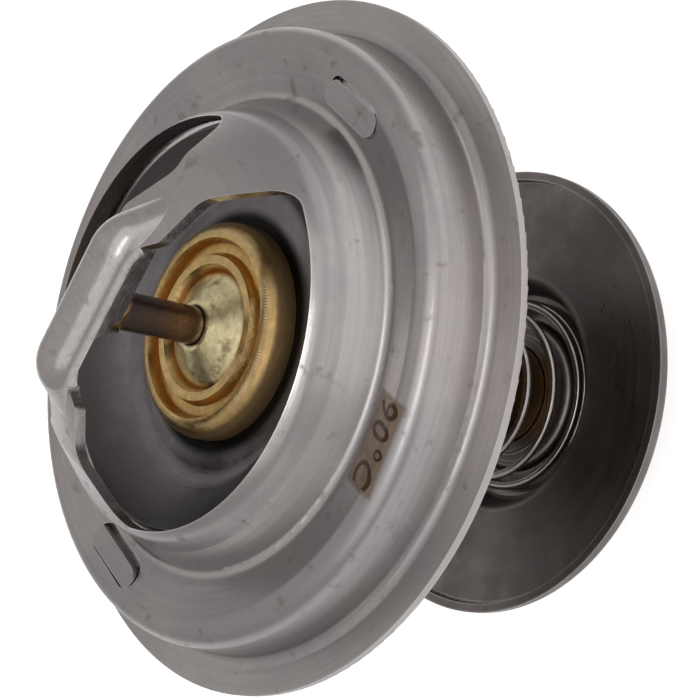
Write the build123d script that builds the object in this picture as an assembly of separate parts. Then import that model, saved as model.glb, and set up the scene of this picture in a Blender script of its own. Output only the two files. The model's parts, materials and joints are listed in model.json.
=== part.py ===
"""Engine thermostat with a pressed bridge flange, wax element and spring-loaded bypass disc.

Z is the thermostat's axis and points to the coolant outlet.  Z = 0 is the outlet-side face of the
flange's brim.  The bridge and the lower frame's legs lie along Y.  All sizes are in millimetres.
"""

import os
from math import atan2, degrees

from build123d import *

# ---- flange: one stainless pressing with the bridge ---------------------------------------------
FLANGE_SHEET = 1.0
BRIM_RADIUS = 33.5
BRIM_WIDTH = 3.55
BRIM_EDGE_ROUND = 0.3
WALL_LEAN = 0.6
WALL_BEND = 1.0
SHOULDER_HEIGHT = 7.3
SHOULDER_WIDTH = 6.75
STEP_FOOT_HEIGHT = 5.0
STEP_WIDTH = 1.6
STEP_BEND = 0.7
CREASE_HEIGHT = 8.3
SEAT_WIDTH = 0.9
LIP_HEIGHT = 10.7
LIP_BEND = 2.0
LIP_WIDTH = 0.65

# ---- bridge -------------------------------------------------------------------------------------
LEG_KNEE_REACH = 4.9
LEG_KNEE_HEIGHT = 16.1
LEG_KNEE_BEND = 4.0
LEG_TOP_REACH = 7.2
LEG_TOP_HEIGHT = 20.6
LEG_TOP_HALF_WIDTH = 3.5
LEG_TOP_LENGTH = 0.8
LEG_TOP_ROUND = 0.5
LEG_NECK_HALF_WIDTH = 2.75
LEG_NECK_REACH = 1.8
LEG_NECK_BEND = 2.0
LEG_FOOT_HALF_WIDTH = 8.2
LEG_FOOT_ROUND = 2.5
BEAD_SHEET = 0.75
BEAD_RISE = 2.6
BEAD_DEPTH = 4.4
BEAD_SHOULDER_OVERLAP = 0.4
BEAD_BEND = 4.5
BEAD_RUN_OUT = 4.1
BEAD_RUN_OUT_BEND = 4.0
WALL_FOOT_DROP = 1.7
WALL_FOOT_SLOPE = 2.0
SOCKET_LIP = 0.3
SOCKET_FLARE = 5.0
FLARE_ANGLE = 45
SOCKET_STRAIGHT = 0.68
SOCKET_DEPTH = 4.0

# ---- wax element --------------------------------------------------------------------------------
PIN_RADIUS = 1.8
PIN_LENGTH = 35.0
PIN_CHAMFER = 0.4
RUNNING_CLEARANCE = 0.06
GUIDE_RADIUS = 10.3
GUIDE_RING_HEIGHT = 2.8
GUIDE_TOP_ROUND = 1.6
GUIDE_NOSE_LENGTH = 5.4
GROOVE_OUTER_RADIUS = 8.6
GROOVE_INNER_RADIUS = 6.9
GROOVE_DEPTH = 0.9
GROOVE_SLOPE = 0.4
RING_INNER_RADIUS = 6.1
RING_DROP = 0.1
CONE_FOOT_RADIUS = 5.6
PIN_BOSS_RADIUS = 2.4
PIN_BOSS_RISE = 1.1
CAN_RADIUS = 7.3
CAN_WALL = 0.9
CAN_FLANGE_RADIUS = 9.5
CAN_FLANGE_THICKNESS = 0.95
CAN_FLOOR = 1.5
CAN_SHOULDER_HEIGHT = -22.0
SPIGOT_RADIUS = 5.2
SPIGOT_END_HEIGHT = -35.0
SPIGOT_CHAMFER = 0.2
SLEEVE_RADIUS = 4.6
SLEEVE_LENGTH = 16.6
SLEEVE_FLANGE = 0.9
WASHER_THICKNESS = 0.8
FIT_GAP = 0.05

# ---- main valve ---------------------------------------------------------------------------------
VALVE_SHEET = 1.0
VALVE_FLAT_HEIGHT = 5.4
VALVE_FLAT_RADIUS = 14.0
VALVE_RIM_HEIGHT = 9.2
VALVE_BEND = 3.0
SEAT_GAP = 0.5
SLIDE_CLEARANCE = 0.15

# ---- lower frame --------------------------------------------------------------------------------
FRAME_SHEET = 2.4
FRAME_RING_TOP = -16.5
FRAME_RING_RADIUS = 13.2
FRAME_LEG_WIDTH = 12.6
FRAME_LEG_RISE = 14.5
FRAME_LEG_REACH = 1.2
TAB_WIDTH = 8.6
TAB_INSET = 4.2
TAB_OFFSET = 1.8
TAB_TIP_HEIGHT = 6.3
LEG_BEND_RADIUS = 4.0
STAKE_GAP = 0.1
STAKE_RELIEF = 0.35
LEG_END_GAP = 0.5

# ---- springs ------------------------------------------------------------------------------------
MAIN_WIRE = 2.0
MAIN_TOP_RADIUS = 12.0
MAIN_BOTTOM_RADIUS = 10.4
MAIN_TURNS = 4.5
BYPASS_WIRE = 0.9
BYPASS_TOP_RADIUS = 6.4
BYPASS_BOTTOM_RADIUS = 9.7
BYPASS_TURNS = 4.5

# ---- bypass disc --------------------------------------------------------------------------------
DISC_SHEET = 0.9
DISC_RADIUS = 23.2
DISC_LIP_HEIGHT = 0.9
DISC_LIP_BEND = 0.3
DISC_FACE_HEIGHT = -30.6
RECESS_RADIUS = 12.2
RECESS_FLOOR_RADIUS = 10.9
RECESS_FLOOR_HEIGHT = -34.2
RECESS_BEND = 0.5
SHELF_RADIUS = 8.1
SHELF_HEIGHT = -33.0
SHELF_SLOPE = 0.3
SHELF_BEND = 0.2
COLLAR_HEIGHT = 0.6
CLIP_THICKNESS = 0.7
CLIP_GROOVE_DEPTH = 0.6
CLIP_RADIUS = 6.6
CLIP_OPENING = 6.0

CAN_BORE = CAN_RADIUS - CAN_WALL
GUIDE_SEAT_HEIGHT = VALVE_FLAT_HEIGHT
CAN_FLANGE_TOP = GUIDE_SEAT_HEIGHT + CAN_FLANGE_THICKNESS
NOSE_END_HEIGHT = CAN_FLANGE_TOP - GUIDE_NOSE_LENGTH
WALL_FOOT_RADIUS = BRIM_RADIUS - BRIM_WIDTH
SHOULDER_RADIUS = WALL_FOOT_RADIUS - WALL_LEAN
STEP_FOOT_RADIUS = SHOULDER_RADIUS - SHOULDER_WIDTH
CREASE_RADIUS = STEP_FOOT_RADIUS - STEP_WIDTH
LIP_RADIUS = CREASE_RADIUS - SEAT_WIDTH
WINDOW_RADIUS = LIP_RADIUS - LIP_WIDTH
LEG_KNEE_RADIUS = LIP_RADIUS - LEG_KNEE_REACH
LEG_TOP_RADIUS = LEG_KNEE_RADIUS - LEG_TOP_REACH
TAB_RADIUS = SHOULDER_RADIUS - TAB_INSET
PIN_BORE = PIN_RADIUS + RUNNING_CLEARANCE
BEAD_HALF_WIDTH = PIN_BORE + FIT_GAP + BEAD_SHEET
BEAD_HEIGHT = LEG_TOP_HEIGHT + BEAD_RISE
WALL_FOOT_LOW = LEG_TOP_HEIGHT - WALL_FOOT_DROP
SOCKET_RIM_HEIGHT = BEAD_HEIGHT - SOCKET_STRAIGHT - 2 * BEAD_HALF_WIDTH
PIN_TOP_HEIGHT = SOCKET_RIM_HEIGHT + SOCKET_DEPTH
FRAME_BORE = CAN_RADIUS + 2 * SLIDE_CLEARANCE


def offset_corners(points, distance):
    """Move a chain of points sideways to its left by one distance, with mitred corners."""
    headings = [(b - a).normalized() for a, b in zip(points, points[1:])]
    normals = [Vector(-heading.Y, heading.X) for heading in headings]
    moved = [points[0] + normals[0] * distance]
    for point, before, after in zip(points[1:], normals, normals[1:]):
        moved.append(point + (before + after) * (distance / (1 + before.dot(after))))
    moved.append(points[-1] + normals[-1] * distance)
    return moved


def sheet_outline(corners, thickness):
    """Section of bent sheet.  Each corner is (radius, height, inside bend radius), rim first.

    The corners lie on the outer face, and the sheet is to the left of the way they run.
    """
    points = [Vector(radius, height) for radius, height, _ in corners]
    bends = [bend for _, _, bend in corners[1:-1]]
    near_radii = []
    far_radii = []
    for before, here, after, bend in zip(points, points[1:], points[2:], bends):
        turns_left = (here - before).cross(after - here).Z > 0
        near_radii.append(bend + thickness if turns_left else bend)
        far_radii.append(bend if turns_left else bend + thickness)
    near = FilletPolyline(*points, radius=near_radii)
    far = FilletPolyline(*offset_corners(points, thickness), radius=far_radii)
    outline = near + Line(near @ 1, far @ 1) + far + Line(far @ 0, near @ 0)
    return make_face(Plane.XZ * outline)


def turned(points):
    """Solid turned about Z from a closed outline of (radius, height) points."""
    return revolve(make_face(Plane.XZ * Polyline(*points, close=True)), Axis.Z)


def tube(outer, inner, low, high):
    """Round tube or rod between two heights."""
    height = high - low
    return Pos(0, 0, low) * extrude(Circle(outer) - Circle(inner), height)


def rod(radius, low, high):
    """Round rod between two heights."""
    return Pos(0, 0, low) * extrude(Circle(radius), high - low)


def round_edges(shape, radius):
    """Circular edges of one radius, lowest first."""
    circles = shape.edges().filter_by(GeomType.CIRCLE)
    return circles.filter_by(lambda edge: abs(edge.radius - radius) < FIT_GAP).sort_by(Axis.Z)


# ---- flange and bridge --------------------------------------------------------------------------

def leg_corners():
    """Corners of a bridge leg's outer face, from the flange's lip to the bead's shoulder."""
    return [
        (LIP_RADIUS, LIP_HEIGHT, LIP_BEND),
        (LEG_KNEE_RADIUS, LEG_KNEE_HEIGHT, LEG_KNEE_BEND),
        (LEG_TOP_RADIUS, LEG_TOP_HEIGHT, 0),
    ]


def brim_to_leg():
    """Corners of the pressing's outer face, from the brim's edge to the top of a bridge leg."""
    return [
        (BRIM_RADIUS, 0, 0),
        (WALL_FOOT_RADIUS, 0, WALL_BEND),
        (SHOULDER_RADIUS, SHOULDER_HEIGHT, WALL_BEND),
        (STEP_FOOT_RADIUS, STEP_FOOT_HEIGHT, STEP_BEND),
        (CREASE_RADIUS, CREASE_HEIGHT, STEP_BEND),
        *leg_corners(),
    ]


def strap_plan():
    """Plan outline of the bridge: narrow over the crown, wider legs that splay towards the lip."""
    quarter = [
        (BEAD_HALF_WIDTH, LEG_TOP_RADIUS - BEAD_SHOULDER_OVERLAP, LEG_TOP_ROUND),
        (LEG_TOP_HALF_WIDTH, LEG_TOP_RADIUS + LEG_TOP_LENGTH, LEG_TOP_ROUND),
        (LEG_NECK_HALF_WIDTH, LEG_KNEE_RADIUS - LEG_NECK_REACH, LEG_NECK_BEND),
        (LEG_FOOT_HALF_WIDTH, LIP_RADIUS, 0),
    ]
    upper_left = [(-x, y, bend) for x, y, bend in reversed(quarter)]
    lower_left = [(-x, -y, bend) for x, y, bend in quarter]
    lower_right = [(x, -y, bend) for x, y, bend in reversed(quarter)]
    loop = quarter + upper_left + lower_left + lower_right
    corners = [(x, y) for x, y, _ in loop]
    bends = [bend for _, _, bend in loop]
    return make_face(FilletPolyline(*corners, radius=bends, close=True))


def window_cutter():
    """The two D-shaped windows, pierced along Z on each side of the bridge."""
    plan = Circle(WINDOW_RADIUS) - strap_plan()
    rim = WINDOW_RADIUS - FIT_GAP
    feet = plan.vertices().filter_by(lambda corner: Vector(corner.X, corner.Y).length > rim)
    return extrude(fillet(feet, LEG_FOOT_ROUND), BEAD_HEIGHT)


def bead_path():
    """Run of the bead's crest over the bridge, from the run-out on one leg to the other."""
    shoulder = LEG_TOP_RADIUS - BEAD_SHOULDER_OVERLAP
    slope = Vector(LEG_TOP_REACH, LEG_KNEE_HEIGHT - LEG_TOP_HEIGHT).normalized()
    leg_top = Vector(LEG_TOP_RADIUS, LEG_TOP_HEIGHT)
    landing = leg_top + slope * BEAD_RUN_OUT
    right = [
        (shoulder, BEAD_HEIGHT),
        (landing.X, landing.Y),
        (LEG_KNEE_RADIUS, LEG_KNEE_HEIGHT - BEAD_SHEET),
    ]
    left = [(-y, z) for y, z in reversed(right)]
    bends = [BEAD_RUN_OUT_BEND, BEAD_BEND, BEAD_BEND, BEAD_RUN_OUT_BEND]
    return Plane.YZ * FilletPolyline(*left, *right, radius=bends)


def bead_sweep(half_width, drop):
    """Upside-down U along the bead's crest, its top one distance below the crest."""
    path = bead_path()
    plane = Plane(origin=path @ 0, x_dir=(1, 0, 0), z_dir=path % 0)
    arch = Pos(0, drop + half_width) * Circle(half_width)
    sides = Pos(0, (drop + half_width + BEAD_DEPTH) / 2) * Rectangle(
        2 * half_width, BEAD_DEPTH - drop - half_width)
    return sweep(plane * (arch + sides), path)


def above_bridge_floor():
    """All that lies above the legs' inner faces and the feet of the bead's walls.

    Each wall's foot is lower on one half of the crown, and the two walls are alike turned half round.
    """
    lip, knee, top = offset_corners([Vector(r, z) for r, z, _ in leg_corners()], FLANGE_SHEET)
    ceiling = BEAD_HEIGHT + BEAD_DEPTH
    foot = top + (knee - top) * ((top.Y - WALL_FOOT_LOW) / (top.Y - knee.Y))
    outline = Polyline(
        (lip.X, ceiling),
        (lip.X, lip.Y),
        (knee.X, knee.Y),
        (foot.X, WALL_FOOT_LOW),
        (0, WALL_FOOT_LOW),
        (0, LEG_TOP_HEIGHT),
        (WALL_FOOT_SLOPE - top.X, LEG_TOP_HEIGHT),
        (-top.X, top.Y),
        (-knee.X, knee.Y),
        (-lip.X, lip.Y),
        (-lip.X, ceiling),
        close=True,
    )
    near_half = extrude(make_face(Plane.YZ * outline), 2 * BEAD_HALF_WIDTH, dir=(1, 0, 0))
    return near_half + Rot(0, 0, 180) * near_half


def pin_socket():
    """Socket drawn down round the pin's end, flared into the bead, with a saddle-shaped rim."""
    lip = PIN_BORE + SOCKET_LIP
    flare = CenterArc((lip + SOCKET_FLARE, SOCKET_RIM_HEIGHT), SOCKET_FLARE, 180, -FLARE_ANGLE)
    top = flare @ 1
    outline = flare + Polyline(
        (top.X, top.Y),
        (top.X, BEAD_HEIGHT),
        (0, BEAD_HEIGHT),
        (0, SOCKET_RIM_HEIGHT),
        (lip, SOCKET_RIM_HEIGHT),
    )
    flared = revolve(make_face(Plane.XZ * outline), Axis.Z)
    saddle = SlotOverall(SOCKET_STRAIGHT + 2 * BEAD_HALF_WIDTH, 2 * BEAD_HALF_WIDTH)
    knob = Rot(90, 0, 0) * Rot(0, 0, 90) * extrude(saddle, top.X, both=True)
    return flared & Pos(0, 0, (SOCKET_RIM_HEIGHT + BEAD_HEIGHT) / 2) * knob


def tab_plan(gap, relief):
    """Rounded outline of one staked tab, or of its slot with a gap all round and relief on one side."""
    return Pos(TAB_OFFSET, relief / 2) * SlotOverall(TAB_WIDTH + 2 * gap, FRAME_SHEET + 2 * gap + relief)


def make_flange_bridge():
    dome = revolve(sheet_outline(brim_to_leg(), FLANGE_SHEET), Axis.Z)
    dome = fillet(round_edges(dome, BRIM_RADIUS)[0], BRIM_EDGE_ROUND)
    hollow = bead_sweep(BEAD_HALF_WIDTH - BEAD_SHEET, BEAD_SHEET)
    bead = (bead_sweep(BEAD_HALF_WIDTH, 0) & above_bridge_floor()) - hollow
    pressing = dome - window_cutter() - hollow + bead + pin_socket()
    pressing -= rod(PIN_BORE, SOCKET_RIM_HEIGHT - BEAD_SHEET, PIN_TOP_HEIGHT)
    slot = extrude(tab_plan(STAKE_GAP, STAKE_RELIEF), SHOULDER_HEIGHT + FLANGE_SHEET)
    return pressing - Pos(0, TAB_RADIUS, 0) * slot - Pos(0, -TAB_RADIUS, 0) * slot


# ---- lower frame --------------------------------------------------------------------------------

def make_lower_frame():
    """Ring that carries the main spring, with two legs whose tips are staked in the flange."""
    ring_foot = FRAME_RING_TOP - FRAME_SHEET
    middle = FRAME_RING_TOP - FRAME_SHEET / 2
    leg_end = STEP_FOOT_HEIGHT - FLANGE_SHEET - LEG_END_GAP
    path = Plane.YZ * FilletPolyline(
        (FRAME_BORE, middle),
        (FRAME_RING_RADIUS + FRAME_LEG_REACH, middle),
        (TAB_RADIUS, FRAME_RING_TOP + FRAME_LEG_RISE),
        (TAB_RADIUS, leg_end),
        radius=[LEG_BEND_RADIUS, LEG_BEND_RADIUS],
    )
    plane = Plane(origin=path @ 0, x_dir=(1, 0, 0), z_dir=path % 0)
    leg = sweep(plane * Rectangle(FRAME_LEG_WIDTH, FRAME_SHEET), path)
    tab_foot = leg_end - FRAME_SHEET
    leg += Pos(0, TAB_RADIUS, tab_foot) * extrude(tab_plan(0, 0), TAB_TIP_HEIGHT - tab_foot)
    frame = rod(FRAME_RING_RADIUS, ring_foot, FRAME_RING_TOP) + leg + mirror(leg, Plane.XZ)
    return frame - rod(FRAME_BORE, ring_foot, FRAME_RING_TOP)


# ---- main valve ---------------------------------------------------------------------------------

def seat_radius(height):
    """Radius of the flange's seat, which is the inside of its inner cone, at one height."""
    run = Vector(LIP_RADIUS - CREASE_RADIUS, LIP_HEIGHT - CREASE_HEIGHT)
    heading = run.normalized()
    inside = Vector(CREASE_RADIUS, CREASE_HEIGHT) + Vector(-heading.Y, heading.X) * FLANGE_SHEET
    return inside.X + (height - inside.Y) * run.X / run.Y


def make_main_valve_plate():
    corners = [
        (seat_radius(VALVE_RIM_HEIGHT) - SEAT_GAP, VALVE_RIM_HEIGHT, 0),
        (VALVE_FLAT_RADIUS, VALVE_FLAT_HEIGHT, VALVE_BEND),
        (CAN_RADIUS + SLIDE_CLEARANCE, VALVE_FLAT_HEIGHT, 0),
    ]
    return revolve(sheet_outline(corners, VALVE_SHEET), Axis.Z)


# ---- wax element --------------------------------------------------------------------------------

def make_element_guide():
    """Turned brass guide, crimped round the can's flange, with rings and a dished top."""
    seat = GUIDE_SEAT_HEIGHT
    top = seat + GUIDE_RING_HEIGHT
    nose = CAN_BORE - FIT_GAP
    guide = turned([
        (PIN_BORE, NOSE_END_HEIGHT),
        (nose, NOSE_END_HEIGHT),
        (nose, CAN_FLANGE_TOP + FIT_GAP),
        (CAN_FLANGE_RADIUS + FIT_GAP, CAN_FLANGE_TOP + FIT_GAP),
        (CAN_FLANGE_RADIUS + FIT_GAP, seat),
        (GUIDE_RADIUS, seat),
        (GUIDE_RADIUS, top),
        (GROOVE_OUTER_RADIUS, top),
        (GROOVE_OUTER_RADIUS - GROOVE_SLOPE, top - GROOVE_DEPTH),
        (GROOVE_INNER_RADIUS + GROOVE_SLOPE, top - GROOVE_DEPTH),
        (GROOVE_INNER_RADIUS, top - RING_DROP),
        (RING_INNER_RADIUS, top - RING_DROP),
        (CONE_FOOT_RADIUS, top - GROOVE_DEPTH),
        (PIN_BOSS_RADIUS, top + PIN_BOSS_RISE),
        (PIN_BORE, top + PIN_BOSS_RISE),
    ])
    return fillet(round_edges(guide, GUIDE_RADIUS)[-1], GUIDE_TOP_ROUND)


def make_element_can():
    """Brass can with a flange on top and a spigot below, grooved for the retaining clip."""
    bore_floor = CAN_SHOULDER_HEIGHT + CAN_FLOOR
    clip_top = clip_seat_height() - FIT_GAP / 2
    groove = SPIGOT_RADIUS - CLIP_GROOVE_DEPTH
    clip_low = clip_top - CLIP_THICKNESS - FIT_GAP
    return turned([
        (0, SPIGOT_END_HEIGHT),
        (SPIGOT_RADIUS - SPIGOT_CHAMFER, SPIGOT_END_HEIGHT),
        (SPIGOT_RADIUS, SPIGOT_END_HEIGHT + SPIGOT_CHAMFER),
        (SPIGOT_RADIUS, clip_low),
        (groove, clip_low),
        (groove, clip_top),
        (SPIGOT_RADIUS, clip_top),
        (SPIGOT_RADIUS, CAN_SHOULDER_HEIGHT),
        (CAN_RADIUS, CAN_SHOULDER_HEIGHT),
        (CAN_RADIUS, GUIDE_SEAT_HEIGHT),
        (CAN_FLANGE_RADIUS, GUIDE_SEAT_HEIGHT),
        (CAN_FLANGE_RADIUS, CAN_FLANGE_TOP),
        (CAN_BORE, CAN_FLANGE_TOP),
        (CAN_BORE, bore_floor),
        (0, bore_floor),
    ])


def washer_heights():
    top = NOSE_END_HEIGHT - FIT_GAP
    return top - WASHER_THICKNESS, top


def make_support_washer():
    low, top = washer_heights()
    return tube(CAN_BORE - FIT_GAP, PIN_BORE, low, top)


def make_rubber_sleeve():
    """Flanged rubber boot that hugs the pin and keeps the wax out."""
    top = washer_heights()[0] - FIT_GAP
    body = rod(SLEEVE_RADIUS, top - SLEEVE_LENGTH, top) + rod(CAN_BORE - FIT_GAP, top - SLEEVE_FLANGE, top)
    return body - rod(PIN_BORE, PIN_TOP_HEIGHT - PIN_LENGTH - FIT_GAP, top)


def make_wax_charge():
    """Wax that fills the can round and under the sleeve."""
    sleeve_top = washer_heights()[0] - FIT_GAP
    top = sleeve_top - SLEEVE_FLANGE - FIT_GAP
    fill = rod(CAN_BORE - FIT_GAP, CAN_SHOULDER_HEIGHT + CAN_FLOOR + FIT_GAP, top)
    return fill - rod(SLEEVE_RADIUS + FIT_GAP, sleeve_top - SLEEVE_LENGTH - FIT_GAP, top)


def make_piston_pin():
    """Polished pin with a chamfered tip at each end."""
    pin = rod(PIN_RADIUS, PIN_TOP_HEIGHT - PIN_LENGTH, PIN_TOP_HEIGHT)
    return chamfer(round_edges(pin, PIN_RADIUS), PIN_CHAMFER)


# ---- springs ------------------------------------------------------------------------------------

def coil_spring(wire, low_radius, high_radius, low, high, turns):
    """Round-wire spring whose end coils' centres are at two heights, plain or conical."""
    height = high - low
    cone = degrees(atan2(high_radius - low_radius, height))
    path = Helix(pitch=height / turns, height=height, radius=low_radius, cone_angle=cone)
    section = Plane(origin=path @ 0, z_dir=path % 0) * Circle(wire / 2)
    return Pos(0, 0, low) * sweep(section, path, is_frenet=True)


def make_main_spring():
    low = FRAME_RING_TOP + MAIN_WIRE / 2 + FIT_GAP
    high = VALVE_FLAT_HEIGHT - VALVE_SHEET - MAIN_WIRE / 2 - FIT_GAP
    return coil_spring(MAIN_WIRE, MAIN_BOTTOM_RADIUS, MAIN_TOP_RADIUS, low, high, MAIN_TURNS)


def make_bypass_spring():
    low = RECESS_FLOOR_HEIGHT + BYPASS_WIRE / 2 + FIT_GAP
    high = CAN_SHOULDER_HEIGHT - BYPASS_WIRE / 2 - FIT_GAP
    return coil_spring(BYPASS_WIRE, BYPASS_BOTTOM_RADIUS, BYPASS_TOP_RADIUS, low, high, BYPASS_TURNS)


# ---- bypass disc --------------------------------------------------------------------------------

def clip_seat_height():
    return SHELF_HEIGHT - DISC_SHEET - FIT_GAP


def make_bypass_disc():
    """Pressed disc with a raised lip, a recess for the spring and a collar that slides on the spigot."""
    lip = DISC_RADIUS - DISC_SHEET
    collar = SPIGOT_RADIUS + SLIDE_CLEARANCE + DISC_SHEET
    corners = [
        (lip, DISC_FACE_HEIGHT + DISC_LIP_HEIGHT, 0),
        (lip, DISC_FACE_HEIGHT, DISC_LIP_BEND),
        (RECESS_RADIUS, DISC_FACE_HEIGHT, RECESS_BEND),
        (RECESS_FLOOR_RADIUS, RECESS_FLOOR_HEIGHT, RECESS_BEND),
        (SHELF_RADIUS, RECESS_FLOOR_HEIGHT, SHELF_BEND),
        (SHELF_RADIUS - SHELF_SLOPE, SHELF_HEIGHT, SHELF_BEND),
        (collar, SHELF_HEIGHT, SHELF_BEND),
        (collar, SHELF_HEIGHT + COLLAR_HEIGHT, 0),
    ]
    return revolve(sheet_outline(corners, DISC_SHEET), Axis.Z)


def make_retaining_clip():
    """Open ring that snaps into the spigot's groove and holds the disc on."""
    top = clip_seat_height() - FIT_GAP
    ring = tube(CLIP_RADIUS, SPIGOT_RADIUS - CLIP_GROOVE_DEPTH + FIT_GAP, top - CLIP_THICKNESS, top)
    return ring - Pos(0, -CLIP_RADIUS, top) * Box(CLIP_OPENING, 2 * CLIP_RADIUS, 4 * CLIP_THICKNESS)


PIECES = {
    "flange_bridge": make_flange_bridge,
    "lower_frame": make_lower_frame,
    "main_valve_plate": make_main_valve_plate,
    "element_guide": make_element_guide,
    "element_can": make_element_can,
    "support_washer": make_support_washer,
    "rubber_sleeve": make_rubber_sleeve,
    "wax_charge": make_wax_charge,
    "piston_pin": make_piston_pin,
    "main_spring": make_main_spring,
    "bypass_disc": make_bypass_disc,
    "bypass_spring": make_bypass_spring,
    "retaining_clip": make_retaining_clip,
}

os.makedirs("parts", exist_ok=True)
for name, make in PIECES.items():
    export_step(make(), f"parts/{name}.step")
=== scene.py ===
"""Looks of an engine thermostat: metal finishes, springs, temperature mark and studio."""

import json
from math import cos, pi, radians, sin, tau

import bmesh
import bpy
from mathutils import Euler, Matrix, Vector
from mathutils.bvhtree import BVHTree


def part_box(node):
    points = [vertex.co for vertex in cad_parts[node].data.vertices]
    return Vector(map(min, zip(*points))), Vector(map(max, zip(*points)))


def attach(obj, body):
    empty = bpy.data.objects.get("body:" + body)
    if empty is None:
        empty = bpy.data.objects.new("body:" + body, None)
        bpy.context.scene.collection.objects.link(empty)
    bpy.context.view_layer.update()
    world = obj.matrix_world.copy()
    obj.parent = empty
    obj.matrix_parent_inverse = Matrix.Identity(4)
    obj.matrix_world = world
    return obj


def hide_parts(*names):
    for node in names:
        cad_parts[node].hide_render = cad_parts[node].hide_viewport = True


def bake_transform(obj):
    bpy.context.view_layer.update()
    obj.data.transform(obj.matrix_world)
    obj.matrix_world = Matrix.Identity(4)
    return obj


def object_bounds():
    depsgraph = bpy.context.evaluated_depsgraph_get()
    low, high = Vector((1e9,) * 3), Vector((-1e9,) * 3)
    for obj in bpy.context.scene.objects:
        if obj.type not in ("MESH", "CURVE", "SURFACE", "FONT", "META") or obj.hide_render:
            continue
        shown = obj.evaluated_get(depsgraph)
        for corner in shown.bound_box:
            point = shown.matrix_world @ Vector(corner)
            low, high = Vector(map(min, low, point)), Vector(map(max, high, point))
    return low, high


bl_info = {
    "name": "Engine Thermostat Looks",
    "version": (1, 0, 0),
    "blender": (4, 5, 0),
    "location": "3D View > Sidebar > Thermostat",
    "description": "Metal finishes, springs, temperature mark and studio for an engine thermostat",
    "category": "Object",
}

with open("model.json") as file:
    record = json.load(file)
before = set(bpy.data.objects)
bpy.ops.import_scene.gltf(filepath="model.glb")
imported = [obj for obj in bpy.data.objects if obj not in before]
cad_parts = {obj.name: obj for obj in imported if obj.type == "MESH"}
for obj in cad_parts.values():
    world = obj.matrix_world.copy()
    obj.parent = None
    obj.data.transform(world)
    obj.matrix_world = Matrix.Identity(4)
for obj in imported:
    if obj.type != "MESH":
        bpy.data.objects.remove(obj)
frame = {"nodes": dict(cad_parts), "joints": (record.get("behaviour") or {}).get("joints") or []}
cad_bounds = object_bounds()

MM = 0.001
PER_MM = 1000
UP = Vector((0, 0, 1))

# Winding of the springs.
STEPS_PER_TURN = 56
WIRE_SIDES = 14
CLOSED_PITCH = 1.03  # rise of a closed turn, in wire diameters

# Drawing of the temperature mark.
CAPITAL_SHARE = 0.69  # height of a figure as a share of the typeface's size
FIGURE_SPACING = 1.15
FIGURE_SWELL = 0.06 * MM
FIGURE_LIFT = 0.03 * MM
PATCH_LIFT = 0.02 * MM
PATCH_BORDER = 0.5 * MM
CELL = 0.3 * MM

# Where the pressing's finish and its painted sheen change.
STEP_BAND = (0.62, 0.63, 0.68, 0.70)  # shares of the rim's radius; the step there gets a painted sheen
STRETCHED_BAND = (0.5, 0.65)  # shares of the bridge's height; above it the bridge gets a painted sheen
BRIM_WIDTH = 3.4  # millimetres, as below
BRIM_BLEND = 0.6

# Where the painted shadow and painted shade on the valve plate change.
CUP_SHADOW_START, CUP_SHADOW_END = 0.7, 1.9  # painted shadow round the guide cup, outside the cup
CUP_SHADOW_TURN, CUP_SHADOW_TURN_END = 2.3, 2.9  # radians to either side of X; the painted shadow fades towards -X
RIM_SHADE_START = 2.0  # painted shade darkening the plate outward starts this far outside the guide cup
RIM_SHADE_END = 1.0  # and reaches its full strength this far inside the plate's rim

# Where the guide cup's finish and its painted shadows change.
CRIMP_BAND = (-0.65, -0.55, -0.25, -0.15)  # from the crest's outside
BARREL_BLEND = 1.2
PIN_GAP = 0.1
PIN_GAP_BLEND = 0.25
FOOT_SHADOW_HEIGHT = 1.0  # painted shadow at the barrel's foot, above the underside of the valve plate
FOOT_SHADOW_BLEND = 0.8

# Direction and stretch of the scratches.
SCRATCH_TURN = (0.3, 0.5, 0.9)
SCRATCH_STRETCH = (1.0, 0.18, 0.4)

# Camera and floor.
SENSOR_WIDTH = 36
NEAREST = 0.001
FLOOR_REACH = 3.0
FLOOR_GAP = 0.5 * MM
FLOOR_IN_METAL = 0.45  # share of the floor's glow that metal mirrors

# Tints laid over the main colours; some are painted shade, shadow or sheen.
WARM_STEEL = (0.46, 0.36, 0.33)
# Painted sheen, lightening the step, the brim and the upper bridge.
PAINTED_SHEEN = (0.66, 0.635, 0.62)
STEEL_LINE = (0.22, 0.21, 0.21)
PLATE_LINE = (0.12, 0.12, 0.12)
# Painted shade on the outer part of the valve plate.
PLATE_RIM_SHADE = (0.06, 0.053, 0.053)
# Painted shadow on the valve plate round the guide cup.
CUP_SHADOW = (0.008, 0.007, 0.006)
DISC_SMUDGE = (0.14, 0.13, 0.13)
DISC_BROWN = (0.16, 0.11, 0.075)
DISC_SPECK = (0.02, 0.018, 0.016)
DULL_WIRE = (0.25, 0.22, 0.19)
HEAT_TINT = (0.36, 0.24, 0.17)
PIN_LINE = (0.10, 0.08, 0.07)
BRASS_STREAK = (0.22, 0.15, 0.08)
BRASS_SMUDGE = (0.2, 0.13, 0.06)
BRASS_LINE = (0.12, 0.07, 0.02)
# Painted shadow at the foot of the guide cup's barrel.
BRASS_FOOT_SHADOW = (0.08, 0.05, 0.025)
STRUCK_BRASS = (0.95, 0.78, 0.55)
PIN_SHADOW = (0.01, 0.008, 0.006)
CAN_TARNISH = (0.13, 0.075, 0.04)
CAN_LINE = (0.08, 0.05, 0.02)
RUBBER = ((0.02, 0.02, 0.02), (0.035, 0.033, 0.03))
WAX = ((0.35, 0.17, 0.08), (0.22, 0.10, 0.05))


# ---- settings -----------------------------------------------------------------------------------

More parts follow.
